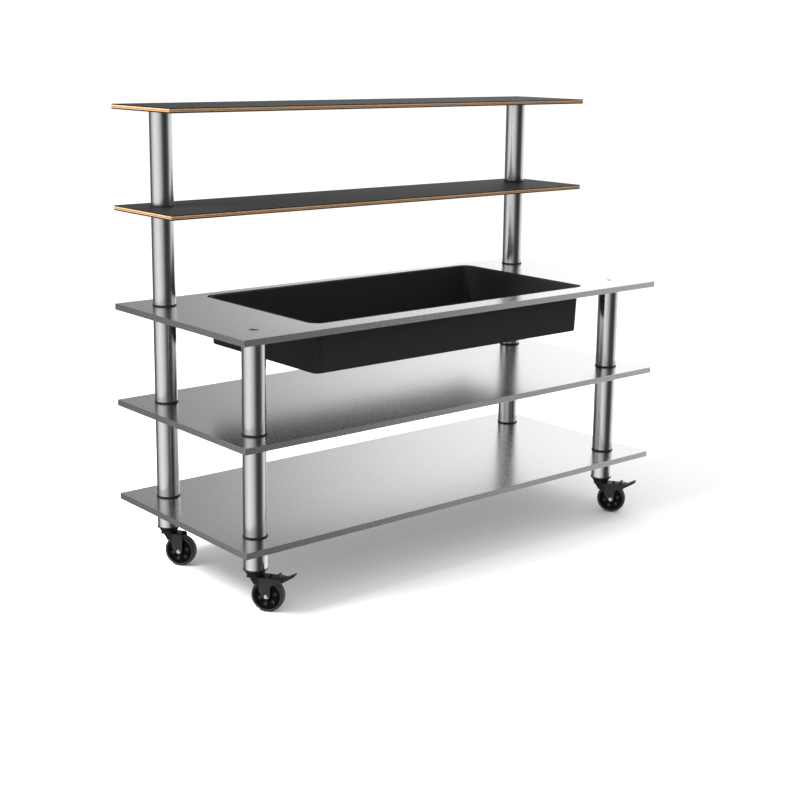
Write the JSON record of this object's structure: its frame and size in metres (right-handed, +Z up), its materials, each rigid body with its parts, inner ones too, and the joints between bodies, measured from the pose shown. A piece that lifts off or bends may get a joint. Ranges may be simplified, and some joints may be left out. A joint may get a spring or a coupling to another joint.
{
  "type": "mobile sink table",
  "caption": "Wheeled stainless food-service table with a lift-out black wash tub in its top deck, lower storage decks and raised rear plywood shelves on tube columns with four swivel castors.",
  "frame": {"origin": "on the floor, at the centre of the footprint", "axes": "+X along the length, +Y towards the back where the shelves stand, +Z up"},
  "size_m": [1.8, 0.75, 1.5265],
  "materials": {
    "deck_steel": "satin-brushed stainless facing with soft, blurred mirror reflections",
    "tube_steel": "fine satin-polished round stainless tube",
    "rod_steel": "dark blackened steel, flat head",
    "film_plywood": "black phenolic film on birch plywood, bare light-brown ply edge",
    "ring_rubber": "matt black rubber",
    "cap_plastic": "matt black moulded plastic",
    "tub_black": "matt black moulded tub, faint fine texture",
    "drain_steel": "satin stainless drain fitting",
    "fork_paint": "dark grey powder-coated pressed steel",
    "pedal_plastic": "dark grey moulded pedal",
    "hub_plastic": "black moulded wheel centre",
    "tyre_rubber": "dark grey-brown rubber tread"
  },
  "bodies": {
    "table_frame": {"bottom_deck": "deck_steel", "middle_deck": "deck_steel", "top_deck": "deck_steel", "lower_shelf": "film_plywood", "upper_shelf": "film_plywood", "leg_tube_front_left": "tube_steel", "ring_lower_front_left": "ring_rubber", "lower_tube_front_left": "tube_steel", "ring_upper_front_left": "ring_rubber", "upper_tube_front_left": "tube_steel", "leg_cap_front_left": "cap_plastic", "tie_rod_front_left": "rod_steel", "leg_tube_front_right": "tube_steel", "ring_lower_front_right": "ring_rubber", "lower_tube_front_right": "tube_steel", "ring_upper_front_right": "ring_rubber", "upper_tube_front_right": "tube_steel", "leg_cap_front_right": "cap_plastic", "tie_rod_front_right": "rod_steel", "leg_tube_rear_left": "tube_steel", "ring_lower_rear_left": "ring_rubber", "lower_tube_rear_left": "tube_steel", "ring_upper_rear_left": "ring_rubber", "upper_tube_rear_left": "tube_steel", "ring_shelf_rear_left": "ring_rubber", "shelf_tube_rear_left": "tube_steel", "ring_crown_rear_left": "ring_rubber", "crown_tube_rear_left": "tube_steel", "leg_cap_rear_left": "cap_plastic", "tie_rod_rear_left": "rod_steel", "leg_tube_rear_right": "tube_steel", "ring_lower_rear_right": "ring_rubber", "lower_tube_rear_right": "tube_steel", "ring_upper_rear_right": "ring_rubber", "upper_tube_rear_right": "tube_steel", "ring_shelf_rear_right": "ring_rubber", "shelf_tube_rear_right": "tube_steel", "ring_crown_rear_right": "ring_rubber", "crown_tube_rear_right": "tube_steel", "leg_cap_rear_right": "cap_plastic", "tie_rod_rear_right": "rod_steel"},
    "lift_out_tub": {"wash_tub": "tub_black", "drain_flange": "drain_steel", "drain_nut": "cap_plastic"},
    "castor_front_left": {"castor_fork_front_left": "fork_paint"},
    "wheel_front_left": {"castor_hub_front_left": "hub_plastic", "castor_tyre_front_left": "tyre_rubber"},
    "pedal_front_left": {"brake_pedal_front_left": "pedal_plastic"},
    "castor_front_right": {"castor_fork_front_right": "fork_paint"},
    "wheel_front_right": {"castor_hub_front_right": "hub_plastic", "castor_tyre_front_right": "tyre_rubber"},
    "pedal_front_right": {"brake_pedal_front_right": "pedal_plastic"},
    "castor_rear_left": {"castor_fork_rear_left": "fork_paint"},
    "wheel_rear_left": {"castor_hub_rear_left": "hub_plastic", "castor_tyre_rear_left": "tyre_rubber"},
    "castor_rear_right": {"castor_fork_rear_right": "fork_paint"},
    "wheel_rear_right": {"castor_hub_rear_right": "hub_plastic", "castor_tyre_rear_right": "tyre_rubber"}
  },
  "joints": [
    {"name": "tub_lift", "type": "slide", "parent": "table_frame", "child": "lift_out_tub", "axis": [0, 0, 1], "range_m": [0, 0.215]},
    {"name": "swivel_front_left", "type": "hinge", "parent": "table_frame", "child": "castor_front_left", "pos_m": [-0.786, -0.255, 0.1195], "axis": [0, 0, 1], "continuous": true},
    {"name": "roll_front_left", "type": "hinge", "parent": "castor_front_left", "child": "wheel_front_left", "pos_m": [-0.76191, -0.2894, 0.052], "axis": [0.8192, 0.5736, 0], "continuous": true},
    {"name": "brake_front_left", "type": "hinge", "parent": "castor_front_left", "child": "pedal_front_left", "pos_m": [-0.75044, -0.30579, 0.1065], "axis": [0.8192, 0.5736, 0], "range_deg": [0, 10]},
    {"name": "swivel_front_right", "type": "hinge", "parent": "table_frame", "child": "castor_front_right", "pos_m": [0.786, -0.255, 0.1195], "axis": [0, 0, 1], "continuous": true},
    {"name": "roll_front_right", "type": "hinge", "parent": "castor_front_right", "child": "wheel_front_right", "pos_m": [0.81009, -0.2894, 0.052], "axis": [0.8192, 0.5736, 0], "continuous": true},
    {"name": "brake_front_right", "type": "hinge", "parent": "castor_front_right", "child": "pedal_front_right", "pos_m": [0.82156, -0.30579, 0.1065], "axis": [0.8192, 0.5736, 0], "range_deg": [0, 10]},
    {"name": "swivel_rear_left", "type": "hinge", "parent": "table_frame", "child": "castor_rear_left", "pos_m": [-0.786, 0.255, 0.1195], "axis": [0, 0, 1], "continuous": true},
    {"name": "roll_rear_left", "type": "hinge", "parent": "castor_rear_left", "child": "wheel_rear_left", "pos_m": [-0.76191, 0.2206, 0.052], "axis": [0.8192, 0.5736, 0], "continuous": true},
    {"name": "swivel_rear_right", "type": "hinge", "parent": "table_frame", "child": "castor_rear_right", "pos_m": [0.786, 0.255, 0.1195], "axis": [0, 0, 1], "continuous": true},
    {"name": "roll_rear_right", "type": "hinge", "parent": "castor_rear_right", "child": "wheel_rear_right", "pos_m": [0.81009, 0.2206, 0.052], "axis": [0.8192, 0.5736, 0], "continuous": true}
  ]
}
